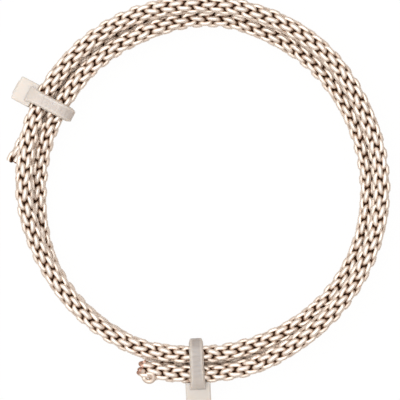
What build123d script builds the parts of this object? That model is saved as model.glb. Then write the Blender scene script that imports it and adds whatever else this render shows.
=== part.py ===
from build123d import *
import math
import os

# A flat coil of round braided grounding cord, held by two one-piece cable ties.
# Millimetres, +Z up.  The coil lies flat, its axis is Z, and the surface that it lies on is z = 0.
# Angles are in degrees, anticlockwise from +X.

os.makedirs("parts", exist_ok=True)

# The cord
CORD_DIAMETER = 3.0
CORD_RADIUS = CORD_DIAMETER / 2
CORD_SPACING = 3.12          # from centre to centre where two passes are tied side by side
ROUTE_STEP = 9.0             # from one point of the route to the next
FREE_END_STEP = 6.0          # the two last runs of the springy end
FILLET_SHARE = 0.45          # of the shorter run, taken by each arc

# The cable ties: one moulded piece each, of a strap, a head and a pawl on a thin hinge
STRAP_WIDTH = 2.5
STRAP_THICKNESS = 1.0
STRAP_CLEARANCE = 0.1        # between the strap and the cord

# The bundle inside a tie: two passes side by side on top, the third in the valley under them
TIED_LOW = STRAP_THICKNESS + STRAP_CLEARANCE + CORD_RADIUS
TIED_TOP = TIED_LOW + CORD_SPACING * math.sin(math.radians(60))
RESTING = CORD_RADIUS        # the height of the cord's middle where it lies on the surface

# Radius and height of the cord's middle, by the angle travelled.  The first tie is near 268, 628 and
# 988, the second near 511, 871 and 1231.  Between the ties the passes ride over each other.
STATIONS = [
    # first pass, outside at both ties and over the second pass between them
    (250.5, 30.4, 5.3),
    (268.5, 29.68, TIED_TOP),
    (285.0, 29.5, 5.6),
    (304.5, 28.7, 7.05),
    (330.0, 28.5, 7.15),
    (385.0, 28.5, 7.1),
    (412.0, 29.25, 6.8),
    (450.0, 29.3, 6.8),
    (475.0, 29.65, 5.4),
    (511.5, 29.32, TIED_TOP),
    (535.0, 28.5, 6.1),
    (572.0, 27.6, 4.8),
    (603.0, 27.5, 4.85),
    # second pass, inside at both ties
    (628.5, 26.56, TIED_TOP),
    (648.0, 26.4, 4.9),
    (690.0, 26.9, 4.35),
    (740.0, 26.6, 4.3),
    (780.0, 26.85, 4.3),
    (805.0, 27.4, 4.35),
    (835.0, 26.5, 4.9),
    (874.0, 26.2, TIED_TOP),
    (895.0, 26.3, 3.4),
    (935.0, 27.5, RESTING),
    (963.0, 27.5, RESTING),
    # third pass, in the valley at both ties and on the surface between them
    (988.5, 28.12, TIED_LOW),
    (1010.0, 28.4, 2.2),
    (1040.0, 28.4, RESTING),
    (1140.0, 28.7, RESTING),
    (1170.0, 29.0, 1.65),
    (1195.0, 28.3, 2.2),
    (1231.5, 27.76, TIED_LOW),
    (1240.5, 28.6, 2.4),
    (1252.5, 30.4, 1.9),
]
START_ANGLE, END_ANGLE = STATIONS[0][0], STATIONS[-1][0]

# The cord's plain solids meet in the middle of a run: the first run that is cut, and one turn's runs
FIRST_CUT_RUN = 1
RUNS_PER_TURN = round(360 / ROUTE_STEP)

# The rest of each tie
STRAP_FLAT = 1.0             # the flat stretch under the bundle, that the coil stands on
STRAP_TURN_RADIUS = 1.0      # where the strap's tail turns outwards into the head
TAIL_STUB = 0.4              # what the cutter leaves outside the head
HEAD_WIDTH = 4.0
HEAD_DEPTH = 2.9             # along the slot
HEAD_TOP = 6.2
HEAD_WALL = 0.55
SLOT_CLEARANCE = 0.1
HEAD_OVERLAP = 0.7           # how far the head's two cheeks reach in over the outer pass

PAWL_WIDTH = 2.3
PAWL_GAP = 0.07              # between the pawl's teeth and the strap
PAWL_BEAD_RADIUS = 0.32      # the rounded root that the pawl turns about
PAWL_BEAD_CLEARANCE = 0.05
PAWL_PIVOT_DEPTH = 0.75      # from the head's inner face
PAWL_PIVOT_RISE = 0.82       # above the strap's toothed face
PAWL_TIP_DEPTH = 2.4
PAWL_TIP_THICKNESS = 0.55
PAWL_TEETH = 3
PAWL_TOOTH_HEIGHT = 0.18
PAWL_TOOTH_PITCH = 0.36
PAWL_ROOM = 1.62             # the height of the cavity above the strap
FRONT_LIP = 0.35

# name, angle, radius of the outer pass, and how far the tie leans away from the coil's radius
TIES = [
    ("tie_bottom", 268.3, 29.68, 4.5),
    ("tie_left", 151.2, 29.32, 1.0),
]


def lane(angle):
    """The radius and height of the cord's middle at a travelled angle."""
    for (start, radius_0, height_0), (end, radius_1, height_1) in zip(STATIONS, STATIONS[1:]):
        if angle <= end:
            share = (angle - start) / (end - start)
            ease = share * share * (3 - 2 * share)
            return radius_0 + (radius_1 - radius_0) * ease, height_0 + (height_1 - height_0) * ease
    return STATIONS[-1][1:]


def route_angles():
    """The travelled angles of the route's points."""
    full_steps = round((END_ANGLE - START_ANGLE - 2 * FREE_END_STEP) / ROUTE_STEP)
    angles = [START_ANGLE + ROUTE_STEP * i for i in range(full_steps + 1)]
    return angles + [END_ANGLE - FREE_END_STEP, END_ANGLE]


def route_points():
    """The corners of the route.  They lie a little outside the lane, because an arc passes inside its corner."""
    points = []
    for angle in route_angles():
        radius, height = lane(angle)
        radius /= math.cos(math.radians(ROUTE_STEP / 2))
        turn = math.radians(angle)
        points.append(Vector(radius * math.cos(turn), radius * math.sin(turn), height))
    return points


def fillet_radii(points):
    """As large an arc at each corner as its two runs allow."""
    radii = []
    for before, corner, after in zip(points, points[1:], points[2:]):
        run_in, run_out = corner - before, after - corner
        half_turn = math.radians(run_in.get_angle(run_out) / 2)
        radii.append(FILLET_SHARE * min(run_in.length, run_out.length) / math.tan(half_turn))
    return radii


def cord_stretch(points, radii, first, last):
    """A plain tube from the middle of run number first to the middle of run number last.

    The cord's own ends, where first or last is None, are cut square at the route's end points.
    """
    from_start, to_end = first is None, last is None
    first = 0 if from_start else first
    last = len(points) - 2 if to_end else last
    corners = points[first + 1:last + 1]
    head = points[0] if from_start else (points[first] + points[first + 1]) / 2
    tail = points[-1] if to_end else (points[last] + points[last + 1]) / 2
    path = FilletPolyline(head, *corners, tail, radius=radii[first:last])
    section = Plane(origin=path @ 0, z_dir=path % 0) * Circle(CORD_RADIUS)
    tube = sweep(section, path=path)
    expected = math.pi * CORD_RADIUS ** 2 * path.length
    print(f"  length {path.length:.1f}, volume {tube.volume:.1f}, section x length {expected:.1f}")
    return tube


def strap_arcs(outer, inner, low, top, bottom):
    """The arcs of the strap's middle line in the plane of radius and height, from the head to the tail.

    outer, inner and low are the radii of the three passes; top and bottom are their heights.
    """
    bend = CORD_RADIUS + STRAP_CLEARANCE + STRAP_THICKNESS / 2
    half_flat = STRAP_FLAT / 2
    # each arc's centre and radius, and the directions from its centre in which it starts and ends
    return [
        ((outer, top), bend, 0, 90),
        ((inner, top), bend, 90, 210),
        ((low - half_flat, bottom), bend, 210, 270),
        ((low + half_flat, bottom), bend, 270, 330),
    ]


def polar(centre, radius, angle):
    """A point at an angle and a distance from a centre."""
    turn = math.radians(angle)
    return centre[0] + radius * math.cos(turn), centre[1] + radius * math.sin(turn)


def strap_tail(arcs):
    """The centre of the tail's outward turn, and the height at which it runs through the head."""
    centre, bend, _, leave = arcs[-1]
    turn_centre = polar(centre, bend + STRAP_TURN_RADIUS, leave)
    return turn_centre, turn_centre[1] + STRAP_TURN_RADIUS


def strap_face(arcs, tail_end, root_height):
    """The strap seen from its edge: the middle line, thickened evenly on both sides."""
    turn_centre, _ = strap_tail(arcs)
    leave = arcs[-1][3]

    def side(offset):
        """Pieces of the line that runs alongside the middle line, offset outwards."""
        pieces = []
        start = polar(arcs[0][0], arcs[0][1] + offset, arcs[0][2])
        here = (start[0], root_height)
        for centre, bend, begin, end in arcs:
            radius = bend + offset
            first = polar(centre, radius, begin)
            middle = polar(centre, radius, (begin + end) / 2)
            last = polar(centre, radius, end)
            if math.dist(here, first) > 1e-6:
                pieces.append(Line(here, first))
            pieces.append(ThreePointArc(first, middle, last))
            here = last
        radius = STRAP_TURN_RADIUS - offset
        middle = polar(turn_centre, radius, (leave - 180 + 90) / 2)
        last = polar(turn_centre, radius, 90)
        pieces.append(ThreePointArc(here, middle, last))
        pieces.append(Line(last, (tail_end, last[1])))
        return pieces

    half = STRAP_THICKNESS / 2
    outside, inside = side(half), side(-half)
    caps = [Line(outside[0] @ 0, inside[0] @ 0), Line(outside[-1] @ 1, inside[-1] @ 1)]
    return make_face(Wire(outside + caps + inside))


def across(face, width):
    """A flat shape drawn in radius (x) and height (y), given a width along the coil."""
    upright = Plane(origin=(0, 0, 0), x_dir=(1, 0, 0), z_dir=(0, -1, 0))
    return extrude(upright * face, amount=width / 2, both=True)


def block(left, right, low, high):
    """A rectangle in the plane of radius and height."""
    return Pos((left + right) / 2, (low + high) / 2) * Rectangle(right - left, high - low)


def tie_strap(outer):
    """The strap, closed round the bundle, with its tail through the head."""
    arcs = strap_arcs(outer, outer - CORD_SPACING, outer - CORD_SPACING / 2, TIED_TOP, TIED_LOW)
    face_radius = outer + CORD_RADIUS + STRAP_CLEARANCE
    tail_end = face_radius + HEAD_DEPTH + TAIL_STUB
    return across(strap_face(arcs, tail_end, HEAD_TOP - 1.4), STRAP_WIDTH)


def tie_geometry(outer):
    """The head's inner face, outer face, the strap's toothed face in the slot, and the pawl's pivot."""
    arcs = strap_arcs(outer, outer - CORD_SPACING, outer - CORD_SPACING / 2, TIED_TOP, TIED_LOW)
    _, tail_height = strap_tail(arcs)
    face = outer + CORD_RADIUS + STRAP_CLEARANCE
    toothed = tail_height + STRAP_THICKNESS / 2
    pivot = (face + PAWL_PIVOT_DEPTH, toothed + PAWL_PIVOT_RISE)
    return face, face + HEAD_DEPTH, toothed, pivot


def tie_head(outer):
    """The head: a block outside the bundle, with the strap's slot and the pawl's cavity through it."""
    face, back, toothed, pivot = tie_geometry(outer)
    slot_low = toothed - STRAP_THICKNESS - SLOT_CLEARANCE
    cavity_top = toothed + PAWL_ROOM
    body = across(block(face - HEAD_OVERLAP, back, slot_low - HEAD_WALL, HEAD_TOP), HEAD_WIDTH)
    body -= across(block(face - 2, face, slot_low - 2, TIED_TOP), HEAD_WIDTH + 1)
    body -= across(Pos(outer, TIED_TOP) * Circle(CORD_RADIUS + STRAP_CLEARANCE), HEAD_WIDTH + 1)
    slot_width = STRAP_WIDTH + 2 * SLOT_CLEARANCE
    slot = across(block(face - 1, back + 1, slot_low, toothed + SLOT_CLEARANCE), slot_width)
    cavity = across(block(face + FRONT_LIP, back + 1, toothed, cavity_top), slot_width)
    seat = across(block(face + FRONT_LIP, pivot[0] + 0.05, pivot[1], cavity_top), slot_width)
    seat -= across(Pos(*pivot) * Circle(PAWL_BEAD_RADIUS + PAWL_BEAD_CLEARANCE), slot_width + 1)
    body = body - slot - (cavity - seat)
    return body - tie_strap(outer)


def tie_pawl(outer):
    """The pawl: a rounded root, an arm that leans towards the strap, and saw teeth at its end."""
    face, _, toothed, pivot = tie_geometry(outer)
    tip = face + PAWL_TIP_DEPTH
    edge = toothed + PAWL_GAP
    teeth_start = tip - PAWL_TEETH * PAWL_TOOTH_PITCH
    outline = [
        (pivot[0], pivot[1] - PAWL_BEAD_RADIUS),
        (teeth_start, edge + PAWL_TOOTH_HEIGHT),
    ]
    for tooth in range(PAWL_TEETH):
        root = teeth_start + tooth * PAWL_TOOTH_PITCH
        outline.append((root + PAWL_TOOTH_PITCH * 0.8, edge))
        outline.append((root + PAWL_TOOTH_PITCH, edge + PAWL_TOOTH_HEIGHT))
    outline.append((tip, edge + PAWL_TOOTH_HEIGHT + PAWL_TIP_THICKNESS))
    outline.append((pivot[0], pivot[1] + PAWL_BEAD_RADIUS))
    arm = across(make_face(Polyline(*outline, close=True)), PAWL_WIDTH)
    bead = across(Pos(*pivot) * Circle(PAWL_BEAD_RADIUS), PAWL_WIDTH)
    return arm + bead


def place_tie(shape, angle, outer, lean):
    """Turns a tie's piece from +X to its angle, and leans it about the middle of its bundle."""
    middle = outer - CORD_SPACING / 2
    leaned = Pos(middle, 0, 0) * Rot(0, 0, lean) * Pos(-middle, 0, 0) * shape
    return Rot(0, 0, angle) * leaned


def write(name, shape):
    """Writes one sub-part, named after its node."""
    export_step(shape, f"parts/{name}.step")


def main():
    points = route_points()
    radii = fillet_radii(points)
    runs = [(b - a).length for a, b in zip(points, points[1:])]
    print(f"cord radii {min(radii):.1f} to {max(radii):.1f} mm, runs {min(runs):.2f} to {max(runs):.2f} mm")

    first = FIRST_CUT_RUN
    last = len(points) - 4
    cuts = [None, first, first + RUNS_PER_TURN, first + 2 * RUNS_PER_TURN, last, None]
    names = ["cord_free_end_a", "cord_first_turn", "cord_second_turn", "cord_third_turn", "cord_free_end_b"]
    for name, begin, end in zip(names, cuts, cuts[1:]):
        print(name)
        write(name, cord_stretch(points, radii, begin, end))

    for name, angle, outer, lean in TIES:
        for piece, make in (("strap", tie_strap), ("head", tie_head), ("pawl", tie_pawl)):
            write(f"{name}_{piece}", place_tie(make(outer), angle, outer, lean))
        _, _, _, pivot = tie_geometry(outer)
        hinge = place_tie(Pos(pivot[0], 0, pivot[1]) * Vertex(0, 0, 0), angle, outer, lean)
        print(name, "pawl pivot", hinge.center())


main()
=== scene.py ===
import math

import bmesh
import bpy
from mathutils import Matrix, Vector


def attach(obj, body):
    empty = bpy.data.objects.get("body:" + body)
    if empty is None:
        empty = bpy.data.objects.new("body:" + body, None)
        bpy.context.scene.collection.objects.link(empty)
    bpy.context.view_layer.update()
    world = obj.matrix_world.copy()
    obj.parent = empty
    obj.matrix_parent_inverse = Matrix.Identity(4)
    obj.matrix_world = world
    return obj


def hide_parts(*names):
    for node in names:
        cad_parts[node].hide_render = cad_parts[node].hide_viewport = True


# A flat coil of round braided grounding cord, held by two nylon cable ties.
# Lengths in this file are metres: MM turns the drawing's millimetres into them.

MM = 0.001

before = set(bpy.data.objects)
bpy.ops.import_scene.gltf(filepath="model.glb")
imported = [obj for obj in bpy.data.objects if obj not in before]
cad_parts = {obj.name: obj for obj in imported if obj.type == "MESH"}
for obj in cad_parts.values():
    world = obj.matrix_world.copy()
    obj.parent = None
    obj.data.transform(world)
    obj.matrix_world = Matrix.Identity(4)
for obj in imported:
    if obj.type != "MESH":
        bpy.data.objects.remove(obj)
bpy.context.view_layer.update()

# ---------------------------------------------------------------- the cord's route

CORD_DIAMETER = 3.0 * MM
CORD_LENGTH = 0.49
CORD_RADIUS = CORD_DIAMETER / 2
PASS_SPACING = 3.12              # millimetres between the middles of two passes at a tie
ROUTE_STEP = 9.0                 # degrees between the route's corners
FREE_END_STEP = 6.0              # degrees from the last whole step to the second cut end

STRAP_WIDTH = 2.5 * MM
STRAP_THICKNESS = 1.0 * MM
STRAP_CLEARANCE = 0.1 * MM

# Heights of the cord's middle, in millimetres: the lowest and the upper passes at a tie, and on the floor.
TIED_LOW = 2.6
TIED_TOP = TIED_LOW + PASS_SPACING * math.sin(math.radians(60))
RESTING = 1.5

# Travelled angle in degrees, then the radius and height of the cord's middle in millimetres.
STATIONS = [
    # first pass, outside at both ties and over the second pass between them
    (250.5, 30.4, 5.3),
    (268.5, 29.68, TIED_TOP),
    (285.0, 29.5, 5.6),
    (304.5, 28.7, 7.05),
    (330.0, 28.5, 7.15),
    (385.0, 28.5, 7.1),
    (412.0, 29.25, 6.8),
    (450.0, 29.3, 6.8),
    (475.0, 29.65, 5.4),
    (511.5, 29.32, TIED_TOP),
    (535.0, 28.5, 6.1),
    (572.0, 27.6, 4.8),
    (603.0, 27.5, 4.85),
    # second pass, inside at both ties
    (628.5, 26.56, TIED_TOP),
    (648.0, 26.4, 4.9),
    (690.0, 26.9, 4.35),
    (740.0, 26.6, 4.3),
    (780.0, 26.85, 4.3),
    (805.0, 27.4, 4.35),
    (835.0, 26.5, 4.9),
    (874.0, 26.2, TIED_TOP),
    (895.0, 26.3, 3.4),
    (935.0, 27.5, RESTING),
    (963.0, 27.5, RESTING),
    # third pass, in the valley at both ties and on the surface between them
    (988.5, 28.12, TIED_LOW),
    (1010.0, 28.4, 2.2),
    (1040.0, 28.4, RESTING),
    (1140.0, 28.7, RESTING),
    (1170.0, 29.0, 1.65),
    (1195.0, 28.3, 2.2),
    (1231.5, 27.76, TIED_LOW),
    (1240.5, 28.6, 2.4),
    (1252.5, 30.4, 1.9),
]
START_ANGLE, END_ANGLE = STATIONS[0][0], STATIONS[-1][0]


def lane(angle):
    """The radius and height of the cord's middle at a travelled angle."""
    for (start, radius_0, height_0), (end, radius_1, height_1) in zip(STATIONS, STATIONS[1:]):
        if angle <= end:
            share = (angle - start) / (end - start)
            ease = share * share * (3 - 2 * share)
            return radius_0 + (radius_1 - radius_0) * ease, height_0 + (height_1 - height_0) * ease
    return STATIONS[-1][1:]


def route_points():
    """The corners of the route, in metres."""
    full_steps = round((END_ANGLE - START_ANGLE - 2 * FREE_END_STEP) / ROUTE_STEP)
    angles = [START_ANGLE + ROUTE_STEP * i for i in range(full_steps + 1)]
    angles += [END_ANGLE - FREE_END_STEP, END_ANGLE]
    points = []
    for angle in angles:
        radius, height = lane(angle)
        radius /= math.cos(math.radians(ROUTE_STEP / 2))
        turn = math.radians(angle)
        points.append(Vector((radius * math.cos(turn), radius * math.sin(turn), height)) * MM)
    return points


def new_object(name, data):
    """An object in the scene for a mesh, a curve, a light or a camera."""
    made = bpy.data.objects.new(name, data)
    bpy.context.scene.collection.objects.link(made)
    return made


def line_object(name, points):
    """An object whose mesh is one open line through the points."""
    mesh = bpy.data.meshes.new(name)
    mesh.from_pydata([tuple(p) for p in points], [(i, i + 1) for i in range(len(points) - 1)], [])
    return new_object(name, mesh)


def smooth_line(name, corners, per_corner):
    """Points along the NURBS spline that has these corners as its control points."""
    curve = bpy.data.curves.new(name, "CURVE")
    curve.dimensions = "3D"
    spline = curve.splines.new("NURBS")
    spline.points.add(len(corners) - 1)
    for point, corner in zip(spline.points, corners):
        point.co = (*corner, 1)
    spline.order_u = 3
    spline.use_endpoint_u = True
    spline.resolution_u = per_corner
    holder = new_object(name, curve)
    mesh = bpy.data.meshes.new_from_object(holder)
    points = [v.co.copy() for v in mesh.vertices]
    bpy.data.objects.remove(holder)
    bpy.data.meshes.remove(mesh)
    return points


# ---------------------------------------------------------------- helpers for node trees

def put(tree, kind, *links, **settings):
    """Adds a node. Each link is (input, value or output socket)."""
    made = tree.nodes.new(kind)
    for key, value in settings.items():
        setattr(made, key, value)
    for socket, source in links:
        if isinstance(source, bpy.types.NodeSocket):
            tree.links.new(source, made.inputs[socket])
        else:
            made.inputs[socket].default_value = source
    return made


def calc(tree, operation, *values):
    """The output of one math node."""
    return put(tree, "ShaderNodeMath", *enumerate(values), operation=operation).outputs[0]


def scaled(tree, vector, factor):
    """A vector times a number."""
    return put(tree, "ShaderNodeVectorMath", (0, vector), ("Scale", factor), operation="SCALE").outputs[0]


def store(tree, piece, label, value, kind="FLOAT", domain="POINT"):
    """Keeps a value on the geometry under a name."""
    return put(tree, "GeometryNodeStoreNamedAttribute", ("Geometry", piece), ("Name", label),
               ("Value", value), data_type=kind, domain=domain).outputs[0]


def stored(tree, label, kind="FLOAT"):
    """Reads a value kept by store."""
    return put(tree, "GeometryNodeInputNamedAttribute", ("Name", label), data_type=kind).outputs[0]


def fade(tree, value, start, end, low=0.0, high=1.0, kind="LINEAR"):
    """Goes from low to high while the value goes from start to end, and stays there outside them."""
    return put(tree, "ShaderNodeMapRange", ("Value", value), ("From Min", start), ("From Max", end),
               ("To Min", low), ("To Max", high), interpolation_type=kind).outputs[0]


def even_steps(tree, line, step):
    """A line object's mesh as a curve with evenly spaced points."""
    curve = put(tree, "GeometryNodeMeshToCurve", ("Mesh", line)).outputs[0]
    return put(tree, "GeometryNodeResampleCurve", ("Curve", curve), ("Length", step),
               mode="LENGTH").outputs[0]


def new_geometry_tree(name, inputs):
    """A geometry tree with one geometry input and named inputs, given as (name, kind, value)."""
    tree = bpy.data.node_groups.new(name, "GeometryNodeTree")
    face = tree.interface
    face.new_socket("Geometry", in_out="INPUT", socket_type="NodeSocketGeometry")
    for label, kind, value in inputs:
        socket = face.new_socket(label, in_out="INPUT", socket_type=kind)
        if value is not None:
            socket.default_value = value
    face.new_socket("Geometry", in_out="OUTPUT", socket_type="NodeSocketGeometry")
    given = tree.nodes.new("NodeGroupInput").outputs
    return tree, given


def grow(piece, tree, **values):
    """Runs a geometry tree on a piece and keeps the result as a plain mesh."""
    modifier = piece.modifiers.new("grow", "NODES")
    modifier.node_group = tree
    for item in tree.interface.items_tree:
        if item.in_out == "INPUT" and item.name in values:
            modifier[item.identifier] = values[item.name]
    bpy.context.view_layer.update()
    result = bpy.data.meshes.new_from_object(piece.evaluated_get(bpy.context.evaluated_depsgraph_get()))
    piece.modifiers.remove(modifier)
    piece.data = result
    return piece


# ---------------------------------------------------------------- the braid

FLOAT, INT, MATERIAL = "NodeSocketFloat", "NodeSocketInt", "NodeSocketMaterial"


def mark_tips(tree, line):
    """Keeps each point's distance from the nearer end of its wire as tip."""
    walked = put(tree, "GeometryNodeSplineParameter").outputs["Length"]
    left_over = calc(tree, "SUBTRACT", put(tree, "GeometryNodeSplineLength").outputs["Length"], walked)
    return store(tree, line, "tip", calc(tree, "MINIMUM", walked, left_over))


def wire_tubes(tree, given, line, thickness):
    """Round wires along the lines, pinched by the cutter at their ends."""
    whole_tip = calc(tree, "MINIMUM", calc(tree, "DIVIDE", stored(tree, "tip"), given["Cut Length"]), 1.0)
    pinch = calc(tree, "MULTIPLY", calc(tree, "SUBTRACT", 1.0, whole_tip), given["Pinch"])
    line = put(tree, "GeometryNodeSetCurveRadius", ("Curve", line),
               ("Radius", calc(tree, "SUBTRACT", thickness, pinch))).outputs[0]
    ring = put(tree, "GeometryNodeCurvePrimitiveCircle", ("Resolution", given["Sides"]),
               ("Radius", given["Wire Radius"])).outputs[0]
    return put(tree, "GeometryNodeCurveToMesh", ("Curve", line), ("Profile Curve", ring),
               ("Fill Caps", True)).outputs[0]


def finish_wires(tree, given, tubes):
    """Smooth wires with flat ends, where the faces with more than four corners are the cuts."""
    corners = put(tree, "GeometryNodeInputMeshFaceNeighbors").outputs["Vertex Count"]
    is_cut = put(tree, "FunctionNodeCompare", (2, corners), (3, 4), data_type="INT",
                 operation="GREATER_THAN").outputs[0]
    smooth = put(tree, "FunctionNodeBooleanMath", (0, is_cut), operation="NOT").outputs[0]
    tubes = put(tree, "GeometryNodeSetShadeSmooth", ("Geometry", tubes), ("Shade Smooth", smooth)).outputs[0]
    tubes = put(tree, "GeometryNodeRealizeInstances", ("Geometry", tubes)).outputs[0]
    tubes = put(tree, "GeometryNodeSetMaterial", ("Geometry", tubes), ("Material", given["Wire"])).outputs[0]
    return put(tree, "GeometryNodeSetMaterial", ("Geometry", tubes), ("Selection", is_cut),
               ("Material", given["Cut Face"])).outputs[0]


def braid_tree():
    """Wires that run both ways round the cord, one over and one under."""
    tree, given = new_geometry_tree("round_braid", [
        ("Wires", INT, 8), ("Lead", FLOAT, 10.4 * MM), ("Wire Radius", FLOAT, 0.405 * MM),
        ("Swell", FLOAT, 0.11), ("Middle Radius", FLOAT, 0.755 * MM), ("Rise", FLOAT, 0.32 * MM),
        ("Belly", FLOAT, 0.23 * MM), ("Dwell", FLOAT, 1.35), ("Straightness", FLOAT, 0.42),
        ("Drift", FLOAT, 40.0), ("Step", FLOAT, 0.37 * MM), ("Sides", INT, 8), ("Stiffest", FLOAT, 0.35),
        ("Splay", FLOAT, 0.36 * MM), ("Far Splay", FLOAT, 0.15 * MM), ("Splay Length", FLOAT, 3.0 * MM),
        ("Uneven", FLOAT, 0.8 * MM), ("Cut Length", FLOAT, 0.3 * MM), ("Pinch", FLOAT, 0.4),
        ("Wander", FLOAT, 1.1), ("Wander Scale", FLOAT, 0.2 / MM), ("Lift", FLOAT, 0.13 * MM),
        ("Lift Scale", FLOAT, 0.5 / MM),
        ("Seed", INT, 4), ("Wire", MATERIAL, None), ("Cut Face", MATERIAL, None)])
    line = even_steps(tree, given["Geometry"], given["Step"])
    line = put(tree, "GeometryNodeSetCurveNormal", ("Curve", line), mode="Z_UP").outputs[0]
    travelled = put(tree, "GeometryNodeSplineParameter").outputs["Length"]
    line = store(tree, line, "along", travelled)
    whole = put(tree, "GeometryNodeSplineLength").outputs["Length"]
    line = store(tree, line, "to_end", calc(tree, "SUBTRACT", whole, travelled))
    copies = put(tree, "GeometryNodeDuplicateElements", ("Geometry", line), ("Amount", given["Wires"]),
                 domain="SPLINE")
    line = store(tree, copies.outputs[0], "wire", copies.outputs["Duplicate Index"], domain="CURVE")
    wire, along, to_end = stored(tree, "wire"), stored(tree, "along"), stored(tree, "to_end")
    chance = put(tree, "FunctionNodeRandomValue", ("ID", wire), ("Seed", given["Seed"]),
                 data_type="FLOAT").outputs["Value"]
    start = calc(tree, "MULTIPLY", chance, given["Uneven"])
    line = put(tree, "GeometryNodeTrimCurve", ("Curve", line), (4, start),
               (5, calc(tree, "SUBTRACT", whole, start)), mode="LENGTH").outputs[0]
    line = mark_tips(tree, line)

    # The column that the wire is at: even wires climb one way round the cord, odd ones the other way.
    hand = calc(tree, "MODULO", wire, 2.0)
    way = calc(tree, "SUBTRACT", 1.0, calc(tree, "MULTIPLY", hand, 2.0))
    crossings = calc(tree, "MULTIPLY", calc(tree, "DIVIDE", along, given["Lead"]), given["Wires"])
    column = calc(tree, "ADD", calc(tree, "MULTIPLY", way, crossings),
                  calc(tree, "MULTIPLY", calc(tree, "FLOOR", calc(tree, "DIVIDE", wire, 2.0)), 2.0))
    half_wave = calc(tree, "MULTIPLY", column, math.pi)
    crest = calc(tree, "MULTIPLY", way, calc(tree, "COSINE", half_wave))
    # Each wire lies nearly straight while it is outside, and crosses quickly while it is underneath.
    second = calc(tree, "SINE", calc(tree, "MULTIPLY", half_wave, 2.0))
    second = calc(tree, "MULTIPLY", second, calc(tree, "DIVIDE", given["Straightness"], 2.0))
    sway = calc(tree, "SUBTRACT", calc(tree, "MULTIPLY", way, calc(tree, "SINE", half_wave)), second)
    lag = calc(tree, "MULTIPLY", sway, calc(tree, "DIVIDE", given["Dwell"], math.pi))
    column = calc(tree, "SUBTRACT", column, lag)
    turn = calc(tree, "MULTIPLY", column, calc(tree, "DIVIDE", 2 * math.pi, given["Wires"]))
    turn = calc(tree, "ADD", turn, calc(tree, "MULTIPLY", along, given["Drift"]))
    # Unevenness: the whole braid wanders round the cord, and each wire rises and sinks a little.
    middle = put(tree, "GeometryNodeInputPosition").outputs[0]
    wander = put(tree, "ShaderNodeTexNoise", ("Vector", middle), ("Scale", given["Wander Scale"]),
                 ("Detail", 1.0)).outputs["Fac"]
    wander = calc(tree, "MULTIPLY", calc(tree, "SUBTRACT", wander, 0.5), given["Wander"])
    turn = calc(tree, "ADD", turn, wander)
    lift = put(tree, "ShaderNodeTexNoise", ("Vector", middle), ("W", wire), ("Scale", given["Lift Scale"]),
               ("Detail", 0.0), noise_dimensions="4D").outputs["Fac"]
    lift = calc(tree, "MULTIPLY", calc(tree, "SUBTRACT", lift, 0.5), given["Lift"])

    def opening(distance):
        """From 0 inside the cord to 1 at its end, where the wires spring apart."""
        share = calc(tree, "SUBTRACT", 1.0, calc(tree, "DIVIDE", distance, given["Splay Length"]))
        share = calc(tree, "MAXIMUM", share, 0.0)
        return calc(tree, "MULTIPLY", share, share)

    far_splay = calc(tree, "MULTIPLY", opening(to_end), given["Far Splay"])
    splay = calc(tree, "MULTIPLY_ADD", opening(along), given["Splay"], far_splay)
    splay = calc(tree, "MULTIPLY", splay, calc(tree, "ADD", chance, given["Stiffest"]))
    radius = calc(tree, "MULTIPLY_ADD", crest, given["Rise"], given["Middle Radius"])
    flat = calc(tree, "SUBTRACT", 1.0, calc(tree, "MULTIPLY", crest, crest))
    radius = calc(tree, "MULTIPLY_ADD", flat, given["Belly"], radius)
    radius = calc(tree, "ADD", calc(tree, "ADD", radius, splay), lift)

    normal = put(tree, "GeometryNodeInputNormal").outputs[0]
    tangent = put(tree, "GeometryNodeInputTangent").outputs[0]
    side = put(tree, "ShaderNodeVectorMath", (0, tangent), (1, normal), operation="CROSS_PRODUCT").outputs[0]
    out = scaled(tree, normal, calc(tree, "MULTIPLY", radius, calc(tree, "COSINE", turn)))
    across = scaled(tree, side, calc(tree, "MULTIPLY", radius, calc(tree, "SINE", turn)))
    offset = put(tree, "ShaderNodeVectorMath", (0, out), (1, across), operation="ADD").outputs[0]
    line = store(tree, line, "middle", middle, kind="FLOAT_VECTOR")
    line = put(tree, "GeometryNodeSetPosition", ("Geometry", line), ("Offset", offset)).outputs[0]
    swollen = calc(tree, "MULTIPLY_ADD", crest, given["Swell"], 1.0)
    tubes = wire_tubes(tree, given, line, swollen)
    # How far each point lies from the cord's middle; the wire's colour paints shade by it, brown deep in the
    # braid.
    reach = put(tree, "ShaderNodeVectorMath", (0, put(tree, "GeometryNodeInputPosition").outputs[0]),
                (1, stored(tree, "middle", "FLOAT_VECTOR")), operation="DISTANCE").outputs["Value"]
    tubes = store(tree, tubes, "reach", calc(tree, "DIVIDE", reach, CORD_RADIUS))
    put(tree, "NodeGroupOutput", (0, finish_wires(tree, given, tubes)))
    return tree


def wire_tree():
    """One loose wire along a line, with its own cut tips; the reach it is given stands for how far outside it
    lies, and sets how much painted crevice shade its colour takes.
    """
    tree, given = new_geometry_tree("loose_wire", [
        ("Wire Radius", FLOAT, 0.38 * MM), ("Step", FLOAT, 0.09 * MM), ("Sides", INT, 12),
        ("Cut Length", FLOAT, 0.3 * MM), ("Pinch", FLOAT, 0.4), ("Shade Reach", FLOAT, 0.8),
        ("Wire", MATERIAL, None), ("Cut Face", MATERIAL, None)])
    line = even_steps(tree, given["Geometry"], given["Step"])
    line = mark_tips(tree, line)
    line = store(tree, line, "reach", given["Shade Reach"])
    put(tree, "NodeGroupOutput", (0, finish_wires(tree, given, wire_tubes(tree, given, line, 1.0))))
    return tree


# Millimetres ahead of the first cut end, outwards of it and above it; sweeps are in degrees.
CURL_PLACE = (-1.95, 1.05, 0.75)
CURL_TILT = 0.45
CURL_WIDE, CURL_NARROW = 0.86, 0.64
CURL_FROM, CURL_SWEEP = 20, 290
CURL_STEPS = 16
CURL_ROOT = (-0.9, 0.2, -0.2)


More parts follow.
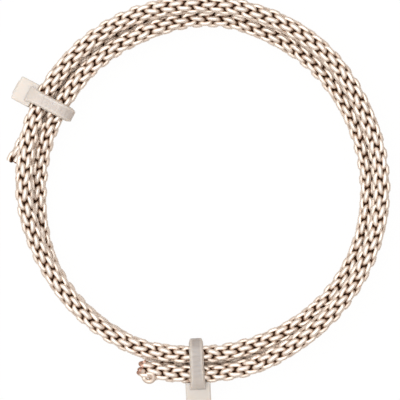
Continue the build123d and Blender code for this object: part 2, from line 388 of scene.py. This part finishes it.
def curled_end(corners, wire, cut):
    """One wire that sprang out of the first end and curled back along the cord's outer flank."""
    onward = (corners[0] - corners[1]).normalized()
    outwards = onward.cross(Vector((0, 0, 1)))
    if outwards.dot(corners[0]) < 0:
        outwards = -outwards
    up = Vector((0, 0, 1))

    def beside(ahead, out, above):
        """A point near the first end, in millimetres ahead of it, outwards of it and above it."""
        return corners[0] + (ahead * onward + out * outwards + above * up) * MM

    centre = beside(*CURL_PLACE)
    slope = (outwards - CURL_TILT * up).normalized()
    points = [beside(*CURL_ROOT)]
    for i in range(CURL_STEPS + 1):
        share = i / CURL_STEPS
        turn = math.radians(CURL_FROM + CURL_SWEEP * share)
        radius = (CURL_WIDE + (CURL_NARROW - CURL_WIDE) * share) * MM
        points.append(centre + radius * (math.cos(turn) * onward + math.sin(turn) * slope))
    line = smooth_line("curl_line", points, 6)
    return grow(line_object("curled_wire_end", line), wire_tree(), Wire=wire, **{"Cut Face": cut})


# ---------------------------------------------------------------- the ties

VECTOR = "NodeSocketVector"
# Millimetres, and the angle in degrees at which the strap leaves the bundle for the head.
STRAP_FLAT = 1.0
STRAP_TURN_RADIUS = 1.0
STRAP_LEAVES = 330
STRAP_ROOT = 4.8
RIB_PITCH = 0.8 * MM
HEAD_DEPTH = 2.9
TAIL_STUB = 0.4

# name, angle, radius of the outer pass in millimetres, and how far the tie leans
TIES = [
    ("tie_bottom", 268.3, 29.68, 4.5),
    ("tie_left", 151.2, 29.32, 1.0),
]


def tie_place(angle, outer, lean):
    """Turns a tie's radius, width and height directions into the coil's frame."""
    middle = Vector(((outer - PASS_SPACING / 2) * MM, 0, 0))
    leaned = Matrix.Translation(middle) @ Matrix.Rotation(math.radians(lean), 4, "Z")
    return Matrix.Rotation(math.radians(angle), 4, "Z") @ leaned @ Matrix.Translation(-middle)


def arc(centre, radius, begin, end, step=6):
    """Points on an arc in the plane of radius and height, in millimetres."""
    count = max(2, round(abs(end - begin) / step))
    turns = [math.radians(begin + (end - begin) * i / count) for i in range(count + 1)]
    return [(centre[0] + radius * math.cos(t), centre[1] + radius * math.sin(t)) for t in turns]


def strap_line(outer):
    """The strap's middle line, from its root in the head, over the bundle, to the cut end of its tail."""
    inner, low = outer - PASS_SPACING, outer - PASS_SPACING / 2
    bend = RESTING + (STRAP_CLEARANCE + STRAP_THICKNESS / 2) / MM
    last_centre = (low + STRAP_FLAT / 2, TIED_LOW)
    line = [(outer + bend, STRAP_ROOT)]
    line += arc((outer, TIED_TOP), bend, 0, 90)
    line += arc((inner, TIED_TOP), bend, 90, 210)
    line += arc((low - STRAP_FLAT / 2, TIED_LOW), bend, 210, 270)
    line += arc(last_centre, bend, 270, STRAP_LEAVES)
    turn_centre = arc(last_centre, bend + STRAP_TURN_RADIUS, STRAP_LEAVES, STRAP_LEAVES)[0]
    line += arc(turn_centre, STRAP_TURN_RADIUS, STRAP_LEAVES - 180, 90)[1:]
    line.append((outer + RESTING + STRAP_CLEARANCE / MM + HEAD_DEPTH + TAIL_STUB, line[-1][1]))
    return [Vector((radius, 0, height)) * MM for radius, height in line]


def strap_tree():
    """A strap along a line: wide inside, narrower outside, with a ladder of ribs on its inner face."""
    tree, given = new_geometry_tree("ribbed_strap", [
        ("Across", VECTOR, (0, 1, 0)), ("Width", FLOAT, STRAP_WIDTH), ("Crown", FLOAT, 1.8 * MM),
        ("Thickness", FLOAT, STRAP_THICKNESS), ("Softness", FLOAT, 0.22 * MM),
        ("Ladder Width", FLOAT, 1.5 * MM), ("Rib Pitch", FLOAT, RIB_PITCH), ("Rib Depth", FLOAT, 0.22 * MM),
        ("Print Through", FLOAT, 0.02 * MM), ("Smooth Root", FLOAT, 3.2 * MM),
        ("Neck Length", FLOAT, 2.6 * MM),
        ("Step", FLOAT, 0.1 * MM), ("Nylon", MATERIAL, None)])
    line = even_steps(tree, given["Geometry"], given["Step"])
    line = put(tree, "GeometryNodeSetCurveNormal", ("Curve", line), ("Normal", given["Across"]),
               mode="FREE").outputs[0]
    along = put(tree, "GeometryNodeSplineParameter").outputs["Length"]
    tangent = put(tree, "GeometryNodeInputTangent").outputs[0]
    out = put(tree, "ShaderNodeVectorMath", (0, given["Across"]), (1, tangent),
              operation="CROSS_PRODUCT").outputs[0]
    line = store(tree, line, "along", along)
    line = store(tree, line, "out", out, kind="FLOAT_VECTOR")
    section = put(tree, "GeometryNodeCurvePrimitiveQuadrilateral", ("Height", given["Thickness"]),
                  ("Bottom Width", given["Crown"]), ("Top Width", given["Width"]), ("Offset", 0.0),
                  mode="TRAPEZOID").outputs[0]
    section = put(tree, "GeometryNodeFilletCurve", ("Curve", section), ("Radius", given["Softness"]),
                  ("Limit Radius", True), ("Count", 3), mode="POLY").outputs[0]
    section = put(tree, "GeometryNodeSubdivideCurve", ("Curve", section), ("Cuts", 1)).outputs[0]
    spot = put(tree, "ShaderNodeSeparateXYZ", (0, put(tree, "GeometryNodeInputPosition").outputs[0]))
    section = store(tree, section, "side", spot.outputs["X"])
    section = store(tree, section, "inward", spot.outputs["Y"])
    strap = put(tree, "GeometryNodeCurveToMesh", ("Curve", line), ("Profile Curve", section),
                ("Fill Caps", True)).outputs[0]

    along, side, inward = stored(tree, "along"), stored(tree, "side"), stored(tree, "inward")
    # A rounded ladder: high for most of each pitch, and low in a short groove.
    beat = calc(tree, "SINE", calc(tree, "DIVIDE", calc(tree, "MULTIPLY", along, 2 * math.pi),
                                   given["Rib Pitch"]))
    groove = fade(tree, beat, -0.1, 0.6, kind="SMOOTHSTEP")
    begun = fade(tree, calc(tree, "DIVIDE", along, given["Smooth Root"]), 0.9, 1.1)
    middle = calc(tree, "LESS_THAN", calc(tree, "ABSOLUTE", side),
                  calc(tree, "DIVIDE", given["Ladder Width"], 2.0))
    lift = calc(tree, "MULTIPLY", calc(tree, "MULTIPLY", groove, begun), middle)
    third = calc(tree, "DIVIDE", given["Thickness"], 3.0)
    inside = calc(tree, "GREATER_THAN", inward, third)
    outside = calc(tree, "LESS_THAN", inward, calc(tree, "MULTIPLY", third, -1.0))
    move = calc(tree, "MULTIPLY", calc(tree, "MULTIPLY", inside, given["Rib Depth"]), lift)
    sink = calc(tree, "MULTIPLY", calc(tree, "MULTIPLY", outside, given["Print Through"]), lift)
    move = scaled(tree, stored(tree, "out", "FLOAT_VECTOR"), calc(tree, "SUBTRACT", move, sink))
    # The neck is square where it leaves the head, and narrows to the crown after it.
    neck = fade(tree, calc(tree, "DIVIDE", along, given["Neck Length"]), 0.5, 1.3, 1.0, 0.0, "SMOOTHSTEP")
    half_width = calc(tree, "DIVIDE", given["Width"], 2.0)
    edge = calc(tree, "MULTIPLY", calc(tree, "SIGN", side), half_width)
    off_centre = calc(tree, "GREATER_THAN", calc(tree, "ABSOLUTE", side),
                      calc(tree, "MULTIPLY", given["Crown"], 0.3))
    widen = calc(tree, "MULTIPLY", calc(tree, "MULTIPLY", neck, off_centre),
                 calc(tree, "SUBTRACT", edge, side))
    move = put(tree, "ShaderNodeVectorMath", (0, move), (1, scaled(tree, given["Across"], widen)),
               operation="ADD").outputs[0]
    strap = put(tree, "GeometryNodeSetPosition", ("Geometry", strap), ("Offset", move)).outputs[0]
    strap = put(tree, "GeometryNodeSetShadeSmooth", ("Geometry", strap), ("Shade Smooth", True)).outputs[0]
    strap = put(tree, "GeometryNodeRealizeInstances", ("Geometry", strap)).outputs[0]
    strap = put(tree, "GeometryNodeSetMaterial", ("Geometry", strap), ("Material", given["Nylon"])).outputs[0]
    put(tree, "NodeGroupOutput", (0, strap))
    return tree


# The head, in millimetres.
HEAD_WIDTH = 4.0
HEAD_TOP = 6.2
HEAD_WALL = 0.55
HEAD_OVERLAP = 0.7
SLOT_CLEARANCE = 0.1
PAWL_ROOM = 1.62
FRONT_LIP = 0.35
HEAD_ROUNDING = 0.32
PAST = 1.0                       # how far a cutter runs past the head, so that it cuts right through
CRISP_ANGLE = 32                 # degrees; an edge that turns by more stays sharp


def block(name, low, high, rounding=0.0):
    """A box between two corners given in millimetres, with its edges rounded."""
    form = bmesh.new()
    size = Vector(high) - Vector(low)
    bmesh.ops.create_cube(form, size=1)
    bmesh.ops.scale(form, vec=size * MM, verts=form.verts)
    bmesh.ops.translate(form, vec=(Vector(high) + Vector(low)) / 2 * MM, verts=form.verts)
    if rounding:
        bmesh.ops.bevel(form, geom=form.edges, offset=rounding * MM, segments=4, profile=0.5,
                        affect="EDGES", clamp_overlap=True)
    mesh = bpy.data.meshes.new(name)
    form.to_mesh(mesh)
    form.free()
    return new_object(name, mesh)


def bar(name, radius, height, thickness, length):
    """A round bar across the tie, with its middle at a radius and a height, in millimetres."""
    form = bmesh.new()
    bmesh.ops.create_cone(form, cap_ends=True, segments=48, radius1=thickness * MM, radius2=thickness * MM,
                          depth=length * MM, matrix=Matrix.Rotation(math.pi / 2, 4, "X"))
    bmesh.ops.translate(form, vec=Vector((radius, 0, height)) * MM, verts=form.verts)
    mesh = bpy.data.meshes.new(name)
    form.to_mesh(mesh)
    form.free()
    return new_object(name, mesh)


def cut_away(body, cutters):
    """Takes the cutters out of the body, and leaves a plain mesh."""
    for cutter in cutters:
        step = body.modifiers.new(cutter.name, "BOOLEAN")
        step.operation = "DIFFERENCE"
        step.solver = "EXACT"
        step.object = cutter
    bpy.context.view_layer.update()
    mesh = bpy.data.meshes.new_from_object(body.evaluated_get(bpy.context.evaluated_depsgraph_get()))
    body.modifiers.clear()
    body.data = mesh
    for cutter in cutters:
        bpy.data.objects.remove(cutter)


SAME_POINT = 0.004 * MM


def smooth_by_angle(mesh, degrees):
    """Smooth faces, with edges kept crisp where they turn by more than the angle."""
    form = bmesh.new()
    form.from_mesh(mesh)
    bmesh.ops.remove_doubles(form, verts=form.verts, dist=SAME_POINT)
    bmesh.ops.recalc_face_normals(form, faces=form.faces)
    limit = math.radians(degrees)
    for face in form.faces:
        face.smooth = True
    for edge in form.edges:
        edge.smooth = len(edge.link_faces) == 2 and edge.calc_face_angle(math.pi) < limit
    form.to_mesh(mesh)
    form.free()


def tie_housing(name, outer, place, material):
    """A tie's head: a rounded block with the strap's slot, the pawl's cavity and two cheeks."""
    face = outer + RESTING + STRAP_CLEARANCE / MM
    back = face + HEAD_DEPTH
    toothed = strap_line(outer)[-1].z / MM + STRAP_THICKNESS / MM / 2
    slot_low = toothed - STRAP_THICKNESS / MM - SLOT_CLEARANCE
    half = HEAD_WIDTH / 2
    slot_half = STRAP_WIDTH / MM / 2 + SLOT_CLEARANCE
    body = block(name, (face - HEAD_OVERLAP, -half, slot_low - HEAD_WALL), (back, half, HEAD_TOP),
                 HEAD_ROUNDING)
    below = block("under the cheeks", (face - 2 * PAST, -half - PAST, 0), (face, half + PAST, TIED_TOP))
    cord_seat = bar("cord's seat", outer, TIED_TOP, RESTING + STRAP_CLEARANCE / MM, HEAD_WIDTH + 2 * PAST)
    slot = block("slot", (face - PAST, -slot_half, slot_low),
                 (back + PAST, slot_half, toothed + SLOT_CLEARANCE))
    room = block("pawl's room", (face + FRONT_LIP, -slot_half, toothed),
                 (back + PAST, slot_half, toothed + PAWL_ROOM))
    cut_away(body, [below, cord_seat, slot, room])
    body.data.transform(place)
    smooth_by_angle(body.data, CRISP_ANGLE)
    body.data.materials.clear()
    body.data.materials.append(material)
    return body


def crisp_copy(name, node, material):
    """A CAD piece as it is, merged into one smooth-shaded mesh."""
    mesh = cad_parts[node].data.copy()
    mesh.name = name
    mesh.materials.clear()
    mesh.materials.append(material)
    smooth_by_angle(mesh, CRISP_ANGLE)
    return new_object(name, mesh)


def outward(piece):
    """Turns a closed mesh's faces outwards."""
    form = bmesh.new()
    form.from_mesh(piece.data)
    bmesh.ops.recalc_face_normals(form, faces=form.faces)
    form.to_mesh(piece.data)
    form.free()


# ---------------------------------------------------------------- materials

def new_material(name):
    """A material, its node tree and its shader."""
    material = bpy.data.materials.new(name)
    material.use_nodes = True
    shader = material.node_tree.nodes["Principled BSDF"]
    return material, material.node_tree, shader


def noise(tree, place, scale, detail=2.0):
    """Noise whose scale is given in lumps per millimetre."""
    made = put(tree, "ShaderNodeTexNoise", ("Vector", place), ("Scale", scale / MM), ("Detail", detail),
               ("Roughness", 0.55))
    return made.outputs["Fac"]


def ramp(tree, value, *stops):
    """A colour ramp with stops given as (position, colour)."""
    made = put(tree, "ShaderNodeValToRGB", ("Fac", value))
    elements = made.color_ramp.elements
    elements[0].position, elements[0].color = stops[0][0], (*stops[0][1], 1)
    elements[1].position, elements[1].color = stops[-1][0], (*stops[-1][1], 1)
    for position, colour in stops[1:-1]:
        elements.new(position).color = (*colour, 1)
    return made.outputs["Color"]


def blend(tree, share, under, over, blend_type="MIX"):
    """Two colours mixed by a share."""
    made = put(tree, "ShaderNodeMix", (0, share), data_type="RGBA", blend_type=blend_type)
    for socket, colour in ((6, under), (7, over)):
        if isinstance(colour, bpy.types.NodeSocket):
            tree.links.new(colour, made.inputs[socket])
        else:
            made.inputs[socket].default_value = (*colour, 1)
    return made.outputs[2]


def bumped(tree, shader, height, distance, strength=1.0):
    """Feeds a height to the shader's normal; the distance is how deep it looks."""
    bump = put(tree, "ShaderNodeBump", ("Height", height), ("Distance", distance), ("Strength", strength))
    tree.links.new(bump.outputs[0], shader.inputs["Normal"])


def object_place(tree):
    """Where a point is on its own piece."""
    return put(tree, "ShaderNodeTexCoord").outputs["Object"]


def surface_value(tree, label):
    """A value that the geometry keeps under a name."""
    return put(tree, "ShaderNodeAttribute", attribute_name=label).outputs["Fac"]


def plated_wire():
    """Tin on copper: satin silver outside, darkened to brown as painted shade in the crevices between wires,
    copper at cuts and rubbed spots.
    """
    material, tree, shader = new_material("plated_copper_wire")
    place = object_place(tree)
    reach = surface_value(tree, "reach")
    tip = surface_value(tree, "tip")
    reach = calc(tree, "MULTIPLY_ADD", calc(tree, "SUBTRACT", noise(tree, place, 0.7, 3), 0.5), 0.12, reach)
    # Painted shade: the colour darkens to brown the deeper a point lies in the braid, standing in for the
    # shade between the wires.
    colour = ramp(tree, reach, (0.46, (0.05, 0.022, 0.011)), (0.64, (0.23, 0.13, 0.08)),
                  (0.75, (0.67, 0.54, 0.44)), (0.85, (0.96, 0.875, 0.80)))
    copper = (0.66, 0.30, 0.18)
    worn = ramp(tree, noise(tree, place, 2.1, 2), (0.68, (0, 0, 0)), (0.74, (1, 1, 1)))
    colour = blend(tree, calc(tree, "MULTIPLY", worn, 0.8), colour, copper)
    cut = fade(tree, calc(tree, "DIVIDE", tip, MM), 0.22, 0.42, 0.85, 0.0)
    at_start = calc(tree, "GREATER_THAN", surface_value(tree, "to_end"), CORD_LENGTH / 2)
    colour = blend(tree, calc(tree, "MULTIPLY", cut, at_start), colour, (0.58, 0.33, 0.25))
    tree.links.new(colour, shader.inputs["Base Color"])
    shader.inputs["Metallic"].default_value = 1.0
    satin = fade(tree, noise(tree, place, 1.6, 3), 0.0, 1.0, 0.38, 0.60)
    tree.links.new(satin, shader.inputs["Roughness"])
    bumped(tree, shader, noise(tree, place, 9.0, 3), 0.012 * MM)
    return material


def cut_copper():
    """Bare copper where the cutter went through a wire."""
    material, tree, shader = new_material("cut_copper")
    place = object_place(tree)
    colour = ramp(tree, noise(tree, place, 4.0, 2), (0.3, (0.44, 0.23, 0.16)), (0.7, (0.72, 0.47, 0.37)))
    tree.links.new(colour, shader.inputs["Base Color"])
    shader.inputs["Metallic"].default_value = 1.0
    shader.inputs["Roughness"].default_value = 0.42
    bumped(tree, shader, noise(tree, place, 12.0, 2), 0.02 * MM)
    return material


def milky_nylon_group():
    """Shared by every nylon piece: cloudy inside; a strap gets painted light at its edges and root, and faint
    stripes of painted shade at its ribs.
    """
    tree = bpy.data.node_groups.new("milky_nylon", "ShaderNodeTree")
    face = tree.interface
    for label in ("Thin", "Thick", "Lit Edge"):
        face.new_socket(label, in_out="INPUT", socket_type="NodeSocketColor")
    face.new_socket("Rib Shade", in_out="INPUT", socket_type="NodeSocketFloat")
    face.new_socket("Color", in_out="OUTPUT", socket_type="NodeSocketColor")
    face.new_socket("Roughness", in_out="OUTPUT", socket_type="NodeSocketFloat")
    face.new_socket("Height", in_out="OUTPUT", socket_type="NodeSocketFloat")
    given = tree.nodes.new("NodeGroupInput").outputs
    place = object_place(tree)
    cloud = fade(tree, noise(tree, place, 0.45, 3), 0.35, 0.65)
    colour = blend(tree, cloud, given["Thin"], given["Thick"])
    along = surface_value(tree, "along")
    # Painted shade: faint dark stripes at the rib pitch, where the ribs shade the nylon.
    beat = calc(tree, "SINE", calc(tree, "MULTIPLY", along, 2 * math.pi / RIB_PITCH))
    shade = calc(tree, "MULTIPLY", calc(tree, "MAXIMUM", beat, 0.0), given["Rib Shade"])
    colour = blend(tree, shade, colour, (0.45, 0.40, 0.37))
    # Painted light: the edge tone is paler along a strap's edges and near its root, where its flanks and neck
    # fall into shade; a head, which keeps neither value, takes the edge tone all over.
    side = calc(tree, "ABSOLUTE", surface_value(tree, "side"))
    lit_rim = fade(tree, calc(tree, "DIVIDE", side, MM), 0.5, 0.95)
    root = fade(tree, calc(tree, "DIVIDE", along, MM), 1.5, 4.0, 1.0, 0.0)
    colour = blend(tree, calc(tree, "MAXIMUM", lit_rim, root), colour, given["Lit Edge"])
    satin = fade(tree, noise(tree, place, 1.2, 2), 0.0, 1.0, 0.3, 0.5)
    grain = noise(tree, place, 6.0, 3)
    put(tree, "NodeGroupOutput", ("Color", colour), ("Roughness", satin), ("Height", grain))
    return tree


MILKY_NYLON = milky_nylon_group()


def nylon(name, thin, thick, edge, clearness):
    """Natural nylon, satin outside, with tones given for this piece, which can paint it lighter or darker for
    how the light falls on it.
    """
    material, tree, shader = new_material(name)
    milky = put(tree, "ShaderNodeGroup", node_tree=MILKY_NYLON)
    for label, colour in (("Thin", thin), ("Thick", thick), ("Lit Edge", edge)):
        milky.inputs[label].default_value = (*colour, 1)
    milky.inputs["Rib Shade"].default_value = 0.12
    tree.links.new(milky.outputs["Color"], shader.inputs["Base Color"])
    tree.links.new(milky.outputs["Roughness"], shader.inputs["Roughness"])
    shader.inputs["IOR"].default_value = 1.53
    shader.inputs["Transmission Weight"].default_value = clearness
    shader.inputs["Subsurface Weight"].default_value = 0.6
    shader.inputs["Subsurface Radius"].default_value = (1.0, 0.85, 0.7)
    shader.inputs["Subsurface Scale"].default_value = 1.6 * MM
    bumped(tree, shader, milky.outputs["Height"], 0.01 * MM)
    return material


WIRE, CUT = plated_wire(), cut_copper()
# Each nylon has a thin, a thick and an edge tone, and how clear it is. The bottom tie's tones are darker
# copies of the left tie's, painted shade for the dimmer light at the bottom of the coil.
HEAD_NYLON = {
    "tie_bottom": nylon("shaded_nylon_bottom_head", (0.63, 0.59, 0.545), (0.68, 0.635, 0.59),
                        (0.67, 0.625, 0.58), 0.08),
    "tie_left": nylon("natural_nylon_left_head", (0.70, 0.65, 0.605), (0.75, 0.70, 0.655),
                      (0.73, 0.68, 0.63), 0.06),
}
STRAP_NYLON = {
    "tie_bottom": nylon("shaded_nylon_bottom_strap", (0.45, 0.415, 0.395), (0.50, 0.465, 0.44),
                        (0.67, 0.62, 0.57), 0.10),
    "tie_left": nylon("natural_nylon_left_strap", (0.60, 0.55, 0.515), (0.655, 0.605, 0.57),
                      (0.76, 0.70, 0.645), 0.06),
}


# ---------------------------------------------------------------- the object

corners = route_points()
path = smooth_line("cord_route", corners, 16)
cord = grow(line_object("braided_cord", path), braid_tree(), Wire=WIRE, **{"Cut Face": CUT})
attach(cord, "coil")
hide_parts("cord_free_end_a", "cord_first_turn", "cord_second_turn", "cord_third_turn",
            "cord_free_end_b")
curl = curled_end(corners, WIRE, CUT)
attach(curl, "coil")

strap_grower = strap_tree()
for name, angle, outer, lean in TIES:
    place = tie_place(angle, outer, lean)
    line = [place @ point for point in strap_line(outer)]
    across = place.to_3x3() @ Vector((0, 1, 0))
    strap = grow(line_object(name + "_band", line), strap_grower, Across=across, Nylon=STRAP_NYLON[name])
    outward(strap)
    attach(strap, "coil")
    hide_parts(name + "_strap")
    housing = tie_housing(name + "_housing", outer, place, HEAD_NYLON[name])
    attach(housing, "coil")
    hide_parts(name + "_head")
    catch = crisp_copy(name + "_catch", name + "_pawl", HEAD_NYLON[name])
    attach(catch, name.replace("tie", "pawl"))
    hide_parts(name + "_pawl")


# ---------------------------------------------------------------- stage, light and camera

FLOOR_HALF = 0.6
FLOOR_HEIGHT = -0.06 * MM
FLOOR_WHITE = 1.02
FLOOR_GLOW = 0.95


def stage():
    """A plain floor that looks white, and throws a softer light on the coil than it shows."""
    floor = bpy.data.meshes.new("floor")
    half = FLOOR_HALF
    floor.from_pydata([(-half, -half, 0), (half, -half, 0), (half, half, 0), (-half, half, 0)], [],
                      [(0, 1, 2, 3)])
    made = new_object("floor", floor)
    made.location.z = FLOOR_HEIGHT
    material, tree, shader = new_material("white_floor")
    shader.inputs["Base Color"].default_value = (0.68, 0.655, 0.63, 1)
    shader.inputs["Roughness"].default_value = 0.9
    shader.inputs["Specular IOR Level"].default_value = 0
    glow = put(tree, "ShaderNodeEmission", ("Color", (1, 1, 1, 1)), ("Strength", FLOOR_WHITE))
    seen = put(tree, "ShaderNodeLightPath").outputs["Is Camera Ray"]
    mixed = put(tree, "ShaderNodeMixShader", (0, calc(tree, "MULTIPLY", seen, FLOOR_GLOW)),
                (1, shader.outputs[0]), (2, glow.outputs[0]))
    tree.links.new(mixed.outputs[0], tree.nodes["Material Output"].inputs["Surface"])
    made.data.materials.append(material)


def soft_light(name, place, size, power):
    """A round soft light that points at the middle of the coil."""
    light = bpy.data.lights.new(name, "AREA")
    light.shape = "DISK"
    light.size = size
    light.energy = power
    made = new_object(name, light)
    made.location = place
    made.rotation_euler = (-Vector(place)).to_track_quat("-Z", "Y").to_euler()


SKY_DIRECTION = (-0.14, 0.04, 0.98)
SKY_LOW = (0.13, 0.08, 0.055)
SKY_HIGH = (1, 0.97, 0.94)


def lights():
    """A sky that is bright overhead and dark near the floor, and one large soft light."""
    world = bpy.data.worlds.new("studio")
    world.use_nodes = True
    tree = world.node_tree
    where = put(tree, "ShaderNodeTexCoord").outputs["Generated"]
    where = put(tree, "ShaderNodeVectorMath", (0, where), (1, SKY_DIRECTION),
                operation="DOT_PRODUCT").outputs["Value"]
    sky = ramp(tree, where, (0.12, SKY_LOW), (0.62, SKY_HIGH))
    background = tree.nodes["Background"]
    tree.links.new(sky, background.inputs["Color"])
    background.inputs["Strength"].default_value = 1.14
    bpy.context.scene.world = world
    soft_light("key", (-0.1, 0.06, 0.5), 0.34, 0.75)
    bpy.context.scene.view_settings.view_transform = "Standard"


VIEW_WIDTH = 64 * MM
CAMERA_HEIGHT = 0.45
CAMERA_PLACE = (-0.35 * MM, -1.86 * MM, CAMERA_HEIGHT + 5 * MM)
SENSOR_WIDTH = 36
NEAR_LIMIT = 0.01


def camera():
    """Straight down on the coil."""
    lens = bpy.data.cameras.new("camera")
    lens.sensor_width = SENSOR_WIDTH
    lens.lens = SENSOR_WIDTH * CAMERA_HEIGHT / VIEW_WIDTH
    lens.clip_start = NEAR_LIMIT
    made = new_object("camera", lens)
    made.location = CAMERA_PLACE
    bpy.context.scene.camera = made


stage()
lights()
camera()
